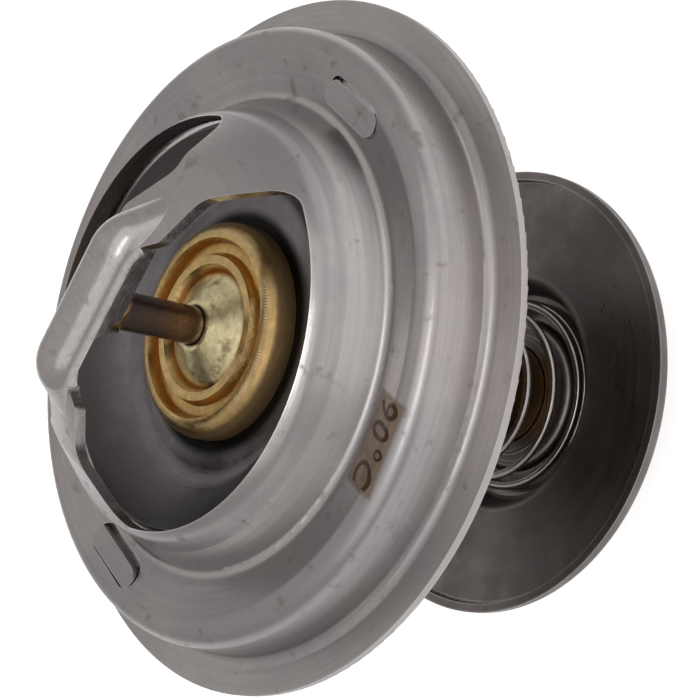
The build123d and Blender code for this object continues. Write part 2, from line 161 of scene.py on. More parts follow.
class SteelSettings(bpy.types.PropertyGroup):
    """Colours of the steel pieces."""

    pressing: bpy.props.FloatVectorProperty(
        name="Pressing", description="Satin stainless steel of the flange and bridge",
        default=(0.44, 0.415, 0.405), subtype="COLOR")
    shade: bpy.props.FloatVectorProperty(
        name="Shade", description="Cooler patches on the satin steel",
        default=(0.31, 0.30, 0.32), subtype="COLOR")
    stain: bpy.props.FloatVectorProperty(
        name="Stain", description="Brown handling stains",
        default=(0.16, 0.12, 0.10), subtype="COLOR")
    # Partly bare metal on rubbed edges, partly a painted highlight along the bends and edges.
    wear_and_highlight: bpy.props.FloatVectorProperty(
        name="Worn", description="Bare metal on rubbed edges",
        default=(0.80, 0.79, 0.78), subtype="COLOR")
    plate: bpy.props.FloatVectorProperty(
        name="Plate", description="Valve plate", default=(0.19, 0.175, 0.18), subtype="COLOR")
    disc: bpy.props.FloatVectorProperty(
        name="Disc", description="Smoky bypass disc", default=(0.25, 0.23, 0.22), subtype="COLOR")
    wire: bpy.props.FloatVectorProperty(
        name="Wire", description="Spring wire", default=(0.42, 0.40, 0.37), subtype="COLOR")
    pin: bpy.props.FloatVectorProperty(
        name="Pin", description="Piston pin", default=(0.27, 0.225, 0.205), subtype="COLOR")


class BrassSettings(bpy.types.PropertyGroup):
    """Colours of the brass pieces, and the radii where they change."""

    barrel: bpy.props.FloatVectorProperty(
        name="Barrel", description="Brown outside of the guide cup",
        default=(0.43, 0.28, 0.12), subtype="COLOR")
    crest: bpy.props.FloatVectorProperty(
        name="Crest", description="Golden crest of the guide cup",
        default=(0.84, 0.59, 0.25), subtype="COLOR")
    # Groove is painted shade: the orange darkening in the grooves' corners, where shade falls; no
    # lacquer is there.
    groove: bpy.props.FloatVectorProperty(
        name="Groove", description="Orange lacquer in the grooves' corners",
        default=(0.42, 0.16, 0.02), subtype="COLOR")
    floor: bpy.props.FloatVectorProperty(
        name="Floor", description="Golden floor of the outer groove",
        default=(0.76, 0.50, 0.17), subtype="COLOR")
    cone: bpy.props.FloatVectorProperty(
        name="Cone", description="Pale brass round the pin",
        default=(0.98, 0.87, 0.52), subtype="COLOR")
    can: bpy.props.FloatVectorProperty(
        name="Can", description="Brown brass of the wax can",
        default=(0.30, 0.17, 0.07), subtype="COLOR")
    crest_radius: bpy.props.FloatProperty(
        name="Crest Radius", description="Outside of the golden crest",
        default=9.7 * MM, unit="LENGTH")
    groove_radius: bpy.props.FloatProperty(
        name="Groove Radius", description="Outside of the outer groove",
        default=8.5 * MM, unit="LENGTH")
    ring_radius: bpy.props.FloatProperty(
        name="Ring Radius", description="Outside of the inner ring",
        default=7.1 * MM, unit="LENGTH")
    cone_radius: bpy.props.FloatProperty(
        name="Cone Radius", description="Foot of the cone round the pin",
        default=5.5 * MM, unit="LENGTH")
    serrations: bpy.props.IntProperty(
        name="Serrations", description="Fine teeth round the crimped crest", default=210)


class MainSpringSettings(bpy.types.PropertyGroup):
    """Winding of the main spring."""

    wire: bpy.props.FloatProperty(
        name="Wire", description="Wire diameter", default=2.0 * MM, unit="LENGTH")
    low_radius: bpy.props.FloatProperty(
        name="Low Radius", description="Radius at the lower end", default=10.4 * MM, unit="LENGTH")
    high_radius: bpy.props.FloatProperty(
        name="High Radius", description="Radius at the upper end", default=12.0 * MM, unit="LENGTH")
    turns: bpy.props.FloatProperty(name="Turns", description="Turns in all", default=5.5)
    closed: bpy.props.FloatProperty(
        name="Closed Turns", description="Closed turns at each end", default=0.9)


class BypassSpringSettings(bpy.types.PropertyGroup):
    """Winding of the bypass spring."""

    wire: bpy.props.FloatProperty(
        name="Wire", description="Wire diameter", default=0.9 * MM, unit="LENGTH")
    low_radius: bpy.props.FloatProperty(
        name="Low Radius", description="Radius at the disc", default=9.7 * MM, unit="LENGTH")
    high_radius: bpy.props.FloatProperty(
        name="High Radius", description="Radius at the can", default=6.4 * MM, unit="LENGTH")
    turns: bpy.props.FloatProperty(name="Turns", description="Turns in all", default=5.6)
    closed: bpy.props.FloatProperty(
        name="Closed Turns", description="Closed turns at each end", default=1.1)


class MarkSettings(bpy.types.PropertyGroup):
    """Annealed temperature mark on the shoulder."""

    text: bpy.props.StringProperty(name="Text", description="Opening temperature", default="90°C")
    figure_height: bpy.props.FloatProperty(
        name="Figure Height", description="Height of the figures", default=3.3 * MM, unit="LENGTH")
    length: bpy.props.FloatProperty(
        name="Length", description="Length of the line of figures",
        default=7.9 * MM, unit="LENGTH")
    radius: bpy.props.FloatProperty(
        name="Radius", description="From the axis to the middle of the mark",
        default=25.85 * MM, unit="LENGTH")
    turn: bpy.props.FloatProperty(
        name="Turn", description="Middle of the mark, from X round the axis",
        default=radians(10.8), unit="ROTATION")
    patch_length: bpy.props.FloatProperty(
        name="Patch Length", description="Length of the annealed patch",
        default=8.9 * MM, unit="LENGTH")
    patch_width: bpy.props.FloatProperty(
        name="Patch Width", description="Width of the annealed patch",
        default=5.0 * MM, unit="LENGTH")
    patch_colour: bpy.props.FloatVectorProperty(
        name="Patch Colour", description="Annealed patch",
        default=(0.33, 0.245, 0.175), subtype="COLOR")
    figure_colour: bpy.props.FloatVectorProperty(
        name="Figure Colour", description="Annealed figures",
        default=(0.10, 0.055, 0.033), subtype="COLOR")


class StudioSettings(bpy.types.PropertyGroup):
    """Camera, lamps and floor."""

    aim: bpy.props.FloatVectorProperty(
        name="Aim", description="Point that the camera looks at",
        default=(0.0041, 0.0029, -0.0058), subtype="XYZ", unit="LENGTH")
    azimuth: bpy.props.FloatProperty(
        name="Azimuth", description="Camera's turn from X round the axis",
        default=radians(25.05), unit="ROTATION")
    elevation: bpy.props.FloatProperty(
        name="Elevation", description="Camera's height above the brim's plane",
        default=radians(39.77), unit="ROTATION")
    roll: bpy.props.FloatProperty(
        name="Roll", description="Camera's turn about its own line of sight",
        default=radians(-77.68), unit="ROTATION")
    distance: bpy.props.FloatProperty(
        name="Distance", description="From the aim to the camera",
        default=0.20892, unit="LENGTH")
    lens: bpy.props.FloatProperty(
        name="Lens", description="Focal length in millimetres", default=112.4)
    horizon: bpy.props.FloatVectorProperty(
        name="Horizon", description="Light of the room's walls",
        default=(0.47, 0.46, 0.455), subtype="COLOR")
    ceiling: bpy.props.FloatVectorProperty(
        name="Ceiling", description="Light of the room's ceiling",
        default=(0.60, 0.585, 0.575), subtype="COLOR")
    floor: bpy.props.FloatVectorProperty(
        name="Floor", description="Colour of the floor",
        default=(0.85, 0.85, 0.85), subtype="COLOR")
    floor_glow: bpy.props.FloatProperty(
        name="Floor Glow", description="White that the camera sees on the floor besides its light",
        default=0.68)
    key_power: bpy.props.FloatProperty(
        name="Key", description="Power of the key softbox", default=0.11, subtype="POWER")
    window_power: bpy.props.FloatProperty(
        name="Window", description="Power of the wide window softbox",
        default=0.46, subtype="POWER")
    fill_power: bpy.props.FloatProperty(
        name="Fill", description="Power of the fill softbox", default=0.26, subtype="POWER")


# ---- shader nodes -------------------------------------------------------------------------------

def add(tree, kind, **options):
    """New node with its options set."""
    node = tree.nodes.new(kind)
    for name, value in options.items():
        setattr(node, name, value)
    return node


def feed(tree, socket, value):
    """Links a socket's value, or sets a plain one."""
    if isinstance(value, bpy.types.NodeSocket):
        tree.links.new(value, socket)
    else:
        socket.default_value = value


def maths(tree, operation, *values):
    """Result of one Math node."""
    node = add(tree, "ShaderNodeMath", operation=operation)
    for socket, value in zip(node.inputs, values):
        feed(tree, socket, value)
    return node.outputs["Value"]


def between(tree, value, low, high, start=0, end=1):
    """Smooth change from one value to another while the input passes from low to high."""
    node = add(tree, "ShaderNodeMapRange", interpolation_type="SMOOTHSTEP")
    names = ("Value", "From Min", "From Max", "To Min", "To Max")
    for name, part in zip(names, (value, low, high, start, end)):
        feed(tree, node.inputs[name], part)
    return node.outputs["Result"]


def belt(tree, distance, start, full, fading, end):
    """Mask that rises between two distances and falls again between two others."""
    rising = between(tree, distance, start, full)
    return maths(tree, "MULTIPLY", rising, between(tree, distance, fading, end, 1, 0))


def tinted(tree, factor, colour, other):
    """Colour mixed with another by a factor."""
    node = add(tree, "ShaderNodeMix", data_type="RGBA")
    feed(tree, node.inputs["Factor"], factor)
    for socket, part in ((node.inputs[6], colour), (node.inputs[7], other)):
        feed(tree, socket, part if isinstance(part, bpy.types.NodeSocket) else (*part, 1))
    return node.outputs[2]


def zones(tree, distance, colour, steps):
    """Colour that changes at each (distance, softness, colour) step from the middle outward."""
    for edge, softness, other in steps:
        passed = between(tree, distance, edge - softness, edge + softness)
        colour = tinted(tree, passed, colour, other)
    return colour


def layered(tree, colour, *layers):
    """Colour with (mask, strength, other colour) layers laid over it in turn."""
    for mask, strength, other in layers:
        colour = tinted(tree, maths(tree, "MULTIPLY", mask, strength), colour, other)
    return colour


def clouds(tree, place, scale, detail=3.0, roughness=0.5):
    """Value of one Noise texture."""
    node = add(tree, "ShaderNodeTexNoise")
    feed(tree, node.inputs["Vector"], place)
    feed(tree, node.inputs["Scale"], scale)
    node.inputs["Detail"].default_value = detail
    node.inputs["Roughness"].default_value = roughness
    return node.outputs["Fac"]


def together(tree, x, y, z):
    """Vector from three values."""
    node = add(tree, "ShaderNodeCombineXYZ")
    for socket, value in zip(node.inputs, (x, y, z)):
        feed(tree, socket, value)
    return node.outputs["Vector"]


def place_in_mm(tree):
    """Object coordinates in millimetres."""
    node = add(tree, "ShaderNodeVectorMath", operation="SCALE")
    tree.links.new(add(tree, "ShaderNodeTexCoord").outputs["Object"], node.inputs[0])
    node.inputs["Scale"].default_value = PER_MM
    return node.outputs["Vector"]


def new_group(name, inputs, outputs):
    """Empty shader node group with float sockets, and its two end nodes."""
    tree = bpy.data.node_groups.new(name, "ShaderNodeTree")
    for label, default in inputs:
        socket = tree.interface.new_socket(label, in_out="INPUT", socket_type="NodeSocketFloat")
        socket.default_value = default
    for label in outputs:
        tree.interface.new_socket(label, in_out="OUTPUT", socket_type="NodeSocketFloat")
    return tree, add(tree, "NodeGroupInput"), add(tree, "NodeGroupOutput")


def use(tree, name, **values):
    """Outputs of one of the shared groups, placed with its own values."""
    node = add(tree, "ShaderNodeGroup", node_tree=bpy.data.node_groups[name])
    for label, value in values.items():
        feed(tree, node.inputs[label], value)
    return node.outputs


# ---- shared effects -----------------------------------------------------------------------------

def build_turned_place():
    """Distance from the axis and height in millimetres, and the turn round the axis in radians."""
    tree, _, out = new_group("Turned Place", (), ("Radius", "Turn", "Height"))
    parts = add(tree, "ShaderNodeSeparateXYZ")
    tree.links.new(place_in_mm(tree), parts.inputs[0])
    x, y, z = parts.outputs
    square = maths(tree, "ADD", maths(tree, "MULTIPLY", x, x), maths(tree, "MULTIPLY", y, y))
    tree.links.new(maths(tree, "SQRT", square), out.inputs["Radius"])
    tree.links.new(maths(tree, "ARCTAN2", y, x), out.inputs["Turn"])
    tree.links.new(z, out.inputs["Height"])


def build_drawing_lines():
    """Fine rings that the press and the polishing wheel leave round the axis."""
    tree, given, out = new_group("Drawing Lines", (("Fineness", 3.0), ("Waver", 3.0)), ("Lines",))
    place = use(tree, "Turned Place")
    fineness = given.outputs["Fineness"]
    across = maths(tree, "MULTIPLY", place["Radius"], fineness)
    up = maths(tree, "MULTIPLY", place["Height"], fineness)
    along = maths(tree, "MULTIPLY", place["Turn"], given.outputs["Waver"])
    unrolled = together(tree, across, up, along)
    lines = clouds(tree, unrolled, scale=1.0, detail=4.0, roughness=0.6)
    tree.links.new(between(tree, lines, 0.3, 0.7), out.inputs["Lines"])


def build_patches():
    """Soft-edged patches of uneven tone, with fine grain inside."""
    inputs = (("Scale", 0.1), ("Cover", 0.5), ("Softness", 0.1), ("Shift", 0.0))
    tree, given, out = new_group("Patches", inputs, ("Patches",))
    shifted = add(tree, "ShaderNodeVectorMath", operation="ADD")
    shift = given.outputs["Shift"]
    tree.links.new(place_in_mm(tree), shifted.inputs[0])
    tree.links.new(together(tree, shift, shift, shift), shifted.inputs[1])
    place = shifted.outputs["Vector"]
    tone = clouds(tree, place, given.outputs["Scale"], detail=5.0, roughness=0.62)
    low = maths(tree, "SUBTRACT", given.outputs["Cover"], given.outputs["Softness"])
    high = maths(tree, "ADD", given.outputs["Cover"], given.outputs["Softness"])
    tree.links.new(between(tree, tone, low, high), out.inputs["Patches"])


def build_scratches():
    """Short hairline scratches, thin where two uneven fields cross a level."""
    inputs = (("Scale", 0.5), ("Width", 0.01), ("Shift", 0.0))
    tree, given, out = new_group("Scratches", inputs, ("Scratches",))
    stretched = add(tree, "ShaderNodeMapping")
    tree.links.new(place_in_mm(tree), stretched.inputs["Vector"])
    stretched.inputs["Rotation"].default_value = SCRATCH_TURN
    stretched.inputs["Scale"].default_value = SCRATCH_STRETCH
    moved = add(tree, "ShaderNodeVectorMath", operation="ADD")
    shift = given.outputs["Shift"]
    tree.links.new(stretched.outputs["Vector"], moved.inputs[0])
    tree.links.new(together(tree, shift, shift, shift), moved.inputs[1])
    place = moved.outputs["Vector"]
    level = clouds(tree, place, given.outputs["Scale"], detail=2.0)
    away = maths(tree, "ABSOLUTE", maths(tree, "SUBTRACT", level, 0.5))
    thin = between(tree, away, 0, given.outputs["Width"], 1, 0)
    broken = between(tree, clouds(tree, place, scale=1.7, detail=2.0), 0.5, 0.62)
    tree.links.new(maths(tree, "MULTIPLY", thin, broken), out.inputs["Scratches"])


def build_worn_and_highlit_edges():
    """Where an edge is sharp enough to be rubbed bright; the bright colour laid there is partly
    wear and partly a painted highlight.
    """
    tree, given, out = new_group("Worn And Highlit Edges", (("Width", 0.2), ("Bite", 0.1)), ("Edges",))
    bevel = add(tree, "ShaderNodeBevel", samples=2)
    tree.links.new(maths(tree, "DIVIDE", given.outputs["Width"], PER_MM), bevel.inputs["Radius"])
    facing = add(tree, "ShaderNodeVectorMath", operation="DOT_PRODUCT")
    tree.links.new(bevel.outputs["Normal"], facing.inputs[0])
    tree.links.new(add(tree, "ShaderNodeNewGeometry").outputs["Normal"], facing.inputs[1])
    turned_away = maths(tree, "SUBTRACT", 1, facing.outputs["Value"])
    tree.links.new(between(tree, turned_away, 0.01, given.outputs["Bite"]), out.inputs["Edges"])


def build_effects():
    """Builds the shared groups; Drawing Lines uses Turned Place, so that comes first."""
    build_turned_place()
    build_drawing_lines()
    build_patches()
    build_scratches()
    build_worn_and_highlit_edges()


# ---- materials ----------------------------------------------------------------------------------

def metal(name, metallic=1.0):
    """Material with a Principled shader; gives the material, its tree and its shader."""
    material = bpy.data.materials.new(name)
    material.use_nodes = True
    tree = material.node_tree
    shader = tree.nodes["Principled BSDF"]
    shader.inputs["Metallic"].default_value = metallic
    return material, tree, shader


def relief(tree, shader, height, depth):
    """Bump whose full height is a depth in millimetres."""
    bump = add(tree, "ShaderNodeBump")
    bump.inputs["Strength"].default_value = 1
    bump.inputs["Distance"].default_value = depth * MM
    feed(tree, bump.inputs["Height"], height)
    tree.links.new(bump.outputs["Normal"], shader.inputs["Normal"])


def mixed_sum(tree, *terms):
    """Sum of (value, weight) pairs."""
    total = None
    for value, weight in terms:
        part = maths(tree, "MULTIPLY", value, weight)
        total = part if total is None else maths(tree, "ADD", total, part)
    return total


def surface(tree, shader, colour, smoothest, *terms):
    """Sets a colour, and a roughness that (value, weight) pairs add to its smoothest."""
    tree.links.new(colour, shader.inputs["Base Color"])
    rough = maths(tree, "ADD", mixed_sum(tree, *terms), smoothest)
    tree.links.new(rough, shader.inputs["Roughness"])


def satin_steel(steel):
    """Drawn stainless steel: satin, faintly ringed, with a painted sheen on the step, brim and
    upper bridge, and its edges lightened partly by rubbing and partly by a painted highlight.
    """
    material, tree, shader = metal("Satin Steel")
    place = use(tree, "Turned Place")
    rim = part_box("flange_bridge")[1].x * PER_MM
    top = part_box("flange_bridge")[1].z * PER_MM
    brim_foot = rim - BRIM_WIDTH
    brim = between(tree, place["Radius"], brim_foot, brim_foot + BRIM_BLEND)
    step = belt(tree, place["Radius"], *(share * rim for share in STEP_BAND))
    stretched = between(tree, place["Height"], *(share * top for share in STRETCHED_BAND))
    # Painted sheen: lighter colour laid on the step, the brim and the upper bridge.
    painted_sheen = mixed_sum(tree, (step, 0.5), (brim, 0.25), (stretched, 0.15))
    lines = use(tree, "Drawing Lines", Fineness=2.2, Waver=1.6)[0]
    cool = use(tree, "Patches", Scale=0.06, Cover=0.5, Softness=0.12)[0]
    warm = use(tree, "Patches", Scale=0.11, Cover=0.56, Softness=0.1, Shift=31.0)[0]
    grime = use(tree, "Patches", Scale=0.45, Cover=0.65, Softness=0.06, Shift=7.0)[0]
    pits = use(tree, "Patches", Scale=1.6, Cover=0.75, Softness=0.03, Shift=61.0)[0]
    scratches = use(tree, "Scratches", Scale=0.45, Width=0.012)[0]
    # Edge mask: the bright colour laid on it is partly wear and partly a painted highlight.
    edges = use(tree, "Worn And Highlit Edges", Width=0.22, Bite=0.12)[0]
    colour = layered(
        tree, steel.pressing,
        (cool, 0.55, steel.shade),
        (warm, 0.12, WARM_STEEL),
        (painted_sheen, 1, PAINTED_SHEEN),
        (lines, 0.20, STEEL_LINE),
        (grime, 0.40, steel.stain),
        (pits, 0.6, steel.stain),
        (edges, 0.5, steel.wear_and_highlight))
    surface(tree, shader, colour, 0.24, (cool, 0.05), (lines, 0.08), (grime, 0.12),
            (scratches, -0.06), (brim, 0.08), (stretched, -0.06))
    grain = clouds(tree, place_in_mm(tree), scale=9.0, detail=2.0)
    relief(tree, shader, mixed_sum(tree, (lines, 0.5), (grain, 0.35), (scratches, -0.7)), 0.006)
    return material


def valve_steel(steel):
    """Valve plate: brushed grey, with painted shade darkening it outward and a painted black shadow
    round the guide cup.
    """
    material, tree, shader = metal("Valve Steel")
    place = use(tree, "Turned Place")
    lines = use(tree, "Drawing Lines", Fineness=3.0, Waver=6.0)[0]
    cloudy = use(tree, "Patches", Scale=0.16, Cover=0.52, Softness=0.12, Shift=12.0)[0]
    scratches = use(tree, "Scratches", Scale=0.8, Width=0.02, Shift=5.0)[0]
    # Edge mask: the bright colour laid on it is partly wear and partly a painted highlight.
    edges = use(tree, "Worn And Highlit Edges", Width=0.2, Bite=0.12)[0]
    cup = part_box("element_guide")[1].x * PER_MM
    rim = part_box("main_valve_plate")[1].x * PER_MM
    turn = maths(tree, "ABSOLUTE", place["Turn"])
    shadow_side = between(tree, turn, CUP_SHADOW_TURN, CUP_SHADOW_TURN_END, 1, 0.15)
    # Painted shadow: black round the guide cup, weaker towards -X.
    round_cup = between(tree, place["Radius"], cup + CUP_SHADOW_START, cup + CUP_SHADOW_END, 0.97, 0)
    cup_shadow = maths(tree, "MULTIPLY", round_cup, shadow_side)
    # Painted shade: the plate darkens from the guide cup outward to its rim.
    rim_shade = between(tree, place["Radius"], cup + RIM_SHADE_START, rim - RIM_SHADE_END, 0, 0.9)
    colour = layered(
        tree, steel.plate,
        (cloudy, 0.5, steel.shade),
        (lines, 0.15, PLATE_LINE),
        (rim_shade, 1, PLATE_RIM_SHADE),
        (cup_shadow, 1, CUP_SHADOW),
        (edges, 0.4, steel.wear_and_highlight))
    surface(tree, shader, colour, 0.25, (lines, 0.08), (cloudy, 0.06), (scratches, -0.08),
            (cup_shadow, 0.2))
    relief(tree, shader, mixed_sum(tree, (lines, 0.6), (scratches, -0.8)), 0.006)
    return material


def smoky_steel(steel):
    """Bypass disc: dark smoky steel with cloudy smudges, a few specks and a bright lip, partly
    rubbed wear and partly a painted highlight.
    """
    material, tree, shader = metal("Smoky Steel")
    cloudy = use(tree, "Patches", Scale=0.13, Cover=0.5, Softness=0.14, Shift=3.0)[0]
    brown = use(tree, "Patches", Scale=0.2, Cover=0.6, Softness=0.1, Shift=19.0)[0]
    specks = use(tree, "Patches", Scale=0.9, Cover=0.74, Softness=0.02, Shift=44.0)[0]
    lines = use(tree, "Drawing Lines", Fineness=2.5, Waver=2.0)[0]
    scratches = use(tree, "Scratches", Scale=0.5, Width=0.015, Shift=9.0)[0]
    # Edge mask: the bright lip colour laid on it is partly wear and partly a painted highlight.
    edges = use(tree, "Worn And Highlit Edges", Width=0.25, Bite=0.12)[0]
    colour = layered(
        tree, steel.disc,
        (cloudy, 0.6, DISC_SMUDGE),
        (brown, 0.3, DISC_BROWN),
        (specks, 0.7, DISC_SPECK),
        (edges, 0.8, steel.wear_and_highlight))
    surface(tree, shader, colour, 0.26, (cloudy, 0.1), (lines, 0.06), (scratches, -0.08))
    relief(tree, shader, mixed_sum(tree, (lines, 0.5), (scratches, -0.8), (specks, 0.5)), 0.006)
    return material


def spring_steel(steel):
    """Bright drawn wire with dull streaks."""
    material, tree, shader = metal("Spring Wire")
    streaks = use(tree, "Patches", Scale=0.4, Cover=0.5, Softness=0.15, Shift=23.0)[0]
    fine = clouds(tree, place_in_mm(tree), scale=6.0, detail=2.0)
    colour = layered(tree, steel.wire, (streaks, 0.5, DULL_WIRE))
    surface(tree, shader, colour, 0.12, (streaks, 0.1), (fine, 0.06))
    relief(tree, shader, fine, 0.004)
    return material


def ground_pin(steel):
    """Centreless-ground pin with brown heat tint and fine rings."""
    material, tree, shader = metal("Ground Pin")
    lines = use(tree, "Drawing Lines", Fineness=2.0, Waver=3.0)[0]
    tint = use(tree, "Patches", Scale=0.3, Cover=0.5, Softness=0.2, Shift=2.0)[0]
    colour = layered(tree, steel.pin, (tint, 0.6, HEAT_TINT), (lines, 0.15, PIN_LINE))
    surface(tree, shader, colour, 0.24, (lines, 0.08), (tint, 0.05))
    relief(tree, shader, lines, 0.0006)
    return material


def guide_brass(brass):
    """Guide cup: brown barrel, golden crest with fine serrations, orange painted shade in the
    grooves, pale cone, and painted shadows round the pin and at the barrel's foot.
    """
    material, tree, shader = metal("Guide Brass")
    place = use(tree, "Turned Place")
    radius = place["Radius"]
    lines = use(tree, "Drawing Lines", Fineness=3.2, Waver=2.0)[0]
    cloudy = use(tree, "Patches", Scale=0.35, Cover=0.5, Softness=0.15, Shift=8.0)[0]
    smudges = use(tree, "Patches", Scale=0.42, Cover=0.6, Softness=0.06, Shift=51.0)[0]
    streaks = use(tree, "Patches", Scale=1.3, Cover=0.5, Softness=0.2, Shift=14.0)[0]
    crest = brass.crest_radius * PER_MM
    groove = brass.groove_radius * PER_MM
    ring = brass.ring_radius * PER_MM
    cone = brass.cone_radius * PER_MM
    # The groove colour in two of these rings is painted shade in the grooves' corners.
    colour = zones(tree, radius, brass.cone, (
        (cone - 0.15, 0.25, brass.groove),
        (cone + 0.35, 0.15, brass.crest),
        (ring, 0.15, brass.floor),
        (groove - 0.45, 0.3, brass.groove),
        (groove, 0.12, brass.crest),
        (crest, 0.8, brass.barrel),
    ))
    inside = between(tree, radius, cone - 0.6, cone, 1, 0)
    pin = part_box("piston_pin")[1].x * PER_MM + PIN_GAP
    gap = between(tree, radius, pin, pin + PIN_GAP_BLEND, 0.95, 0)
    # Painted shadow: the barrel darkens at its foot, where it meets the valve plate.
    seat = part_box("main_valve_plate")[0].z * PER_MM + FOOT_SHADOW_HEIGHT
    foot = between(tree, place["Height"], seat, seat + FOOT_SHADOW_BLEND, 0.3, 0)
    wave = maths(tree, "SINE", maths(tree, "MULTIPLY", place["Turn"], float(brass.serrations)))
    crimp = belt(tree, radius, *(crest + inward for inward in CRIMP_BAND))
    unevenness = clouds(tree, place_in_mm(tree), scale=0.5, detail=2.0)
    struck = between(tree, unevenness, 0.35, 0.6)
    teeth = maths(tree, "MULTIPLY", crimp, between(tree, wave, -0.4, 0.4))
    teeth = maths(tree, "MULTIPLY", teeth, struck)
    colour = layered(
        tree, colour,
        (cloudy, between(tree, inside, 0, 1, 0.4, 0.08), brass.barrel),
        (streaks, 0.35, BRASS_STREAK),
        (maths(tree, "MULTIPLY", smudges, inside), 0.7, BRASS_SMUDGE),
        (gap, 1, PIN_SHADOW),
        (lines, 0.15, BRASS_LINE),
        (foot, 1, BRASS_FOOT_SHADOW),
        (teeth, 0.6, STRUCK_BRASS))
    surface(tree, shader, colour, 0.17, (cloudy, 0.08), (lines, 0.08),
            (between(tree, radius, groove, crest), 0.14), (inside, 0.1))
    dull_barrel = between(tree, radius, crest, crest + BARREL_BLEND, 1, 0.45)
    tree.links.new(dull_barrel, shader.inputs["Metallic"])
    relief(tree, shader, mixed_sum(tree, (lines, 0.3), (streaks, 1.0), (teeth, 1.5)), 0.01)
    return material


def can_brass(brass):
    """Wax can: brown brass with darker tarnish and drawing rings."""
    material, tree, shader = metal("Can Brass")
    lines = use(tree, "Drawing Lines", Fineness=2.5, Waver=2.0)[0]
    tarnish = use(tree, "Patches", Scale=0.25, Cover=0.5, Softness=0.12, Shift=27.0)[0]
    colour = layered(tree, brass.can, (tarnish, 0.7, CAN_TARNISH), (lines, 0.2, CAN_LINE))
    surface(tree, shader, colour, 0.2, (lines, 0.08), (tarnish, 0.15))
    relief(tree, shader, lines, 0.006)
    return material


def soft_filling(name, colours, scale):
    """Rubber or wax: matt, mottled in two colours and slightly grainy."""
    material, tree, shader = metal(name, metallic=0.0)
    mottle = use(tree, "Patches", Scale=scale, Cover=0.5, Softness=0.2)[0]
    surface(tree, shader, tinted(tree, mottle, *colours), 0.6, (mottle, 0.15))
    relief(tree, shader, clouds(tree, place_in_mm(tree), scale=5.0), 0.02)
    return material


def annealed(name, colour, soft):
    """Metal browned by a marking laser, uneven, and with soft borders if asked."""
    material, tree, shader = metal(name)
    lines = use(tree, "Drawing Lines", Fineness=2.2, Waver=1.6)[0]
    uneven = use(tree, "Patches", Scale=0.5, Cover=0.5, Softness=0.25, Shift=15.0)[0]
    darker = tuple(part * 0.75 for part in colour)
    surface(tree, shader, tinted(tree, uneven, colour, darker), 0.32, (lines, 0.07))
    alpha = maths(tree, "SUBTRACT", 0.9, maths(tree, "MULTIPLY", uneven, 0.3))
    if soft:
        inside = add(tree, "ShaderNodeAttribute", attribute_name="inside").outputs["Fac"]
        alpha = maths(tree, "MULTIPLY", alpha, inside)
    tree.links.new(alpha, shader.inputs["Alpha"])
    relief(tree, shader, lines, 0.004)
    return material


def finish_node(node, material):
    """Gives a CAD node its finish."""
    mesh = frame["nodes"][node].data
    mesh.materials.clear()
    mesh.materials.append(material)


def add_piece(name, mesh, material, body=None):
    """New piece of the object, riding on a body."""
    mesh.materials.append(material)
    piece = bpy.data.objects.new(name, mesh)
    bpy.context.scene.collection.objects.link(piece)
    if body:
        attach(piece, body)
    return piece


# ---- springs ------------------------------------------------------------------------------------

def wound_wire(name, winding, low, high):
    """Round wire wound between two heights, its end turns closed and the rest evenly open."""
    sides = WIRE_SIDES
    wire = winding.wire
    foot, top = low + wire / 2, high - wire / 2
    closed_rise = winding.closed * wire * CLOSED_PITCH
    open_turns = winding.turns - 2 * winding.closed
    count = int(winding.turns * STEPS_PER_TURN)

    def centre(turn):
        """Middle of the wire after some turns from its lower end."""
        share = min(max((turn - winding.closed) / open_turns, 0), 1)
        if turn < winding.closed:
            height = foot + closed_rise * turn / winding.closed
        elif turn > winding.turns - winding.closed:
            height = top - closed_rise * (winding.turns - turn) / winding.closed
        else:
            height = foot + closed_rise + (top - foot - 2 * closed_rise) * share
        radius = winding.low_radius + (winding.high_radius - winding.low_radius) * share
        return Vector((radius * cos(tau * turn), radius * sin(tau * turn), height))

    vertices = []
    for step in range(count + 1):
        turn = winding.turns * step / count
        middle = centre(turn)
        outward = Vector((cos(tau * turn), sin(tau * turn), 0))
        for side in range(sides):
            angle = tau * side / sides
            vertices.append(middle + (outward * cos(angle) + UP * sin(angle)) * wire / 2)
    faces = [tuple(range(sides))]
    for step in range(count):
        for side in range(sides):
            a = step * sides + side
            b = step * sides + (side + 1) % sides
            faces.append((a, a + sides, b + sides, b))
    faces.append(tuple(reversed(range(count * sides, (count + 1) * sides))))
    mesh = bpy.data.meshes.new(name)
    mesh.from_pydata(vertices, [], faces)
    mesh.shade_smooth()
    return mesh


# ---- temperature mark ---------------------------------------------------------------------------

def lay_on_pressing(mesh, lift):
    """Moves every point of a mesh down onto the pressing's face, plus a lift."""
    carrier = frame["nodes"]["flange_bridge"]
    tree = BVHTree.FromObject(carrier, bpy.context.evaluated_depsgraph_get())
    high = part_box("flange_bridge")[1].z
    for vertex in mesh.vertices:
        start = Vector((vertex.co.x, vertex.co.y, high))
        hit, normal, _, _ = tree.ray_cast(start, -UP)
        vertex.co = hit + normal * lift


def place_mark(mesh, mark):
    """Turns a flat drawing so that its top faces outward, and moves it out to its radius."""
    outward = Vector((cos(mark.turn), sin(mark.turn), 0))
    along = outward.cross(UP)
    for vertex in mesh.vertices:
        vertex.co = outward * (mark.radius + vertex.co.y) + along * vertex.co.x


def cut_into_cells(mesh, size):
    """Cuts a flat mesh along a grid so that it can follow the shoulder."""
    work = bmesh.new()
    work.from_mesh(mesh)
    for axis in (Vector((1, 0, 0)), Vector((0, 1, 0))):
        reach = [axis.dot(vertex.co) for vertex in work.verts]
        level = min(reach) + size
        while level < max(reach):
            parts = work.verts[:] + work.edges[:] + work.faces[:]
            bmesh.ops.bisect_plane(work, geom=parts, plane_co=axis * level, plane_no=axis)
            level += size
    work.to_mesh(mesh)
    work.free()


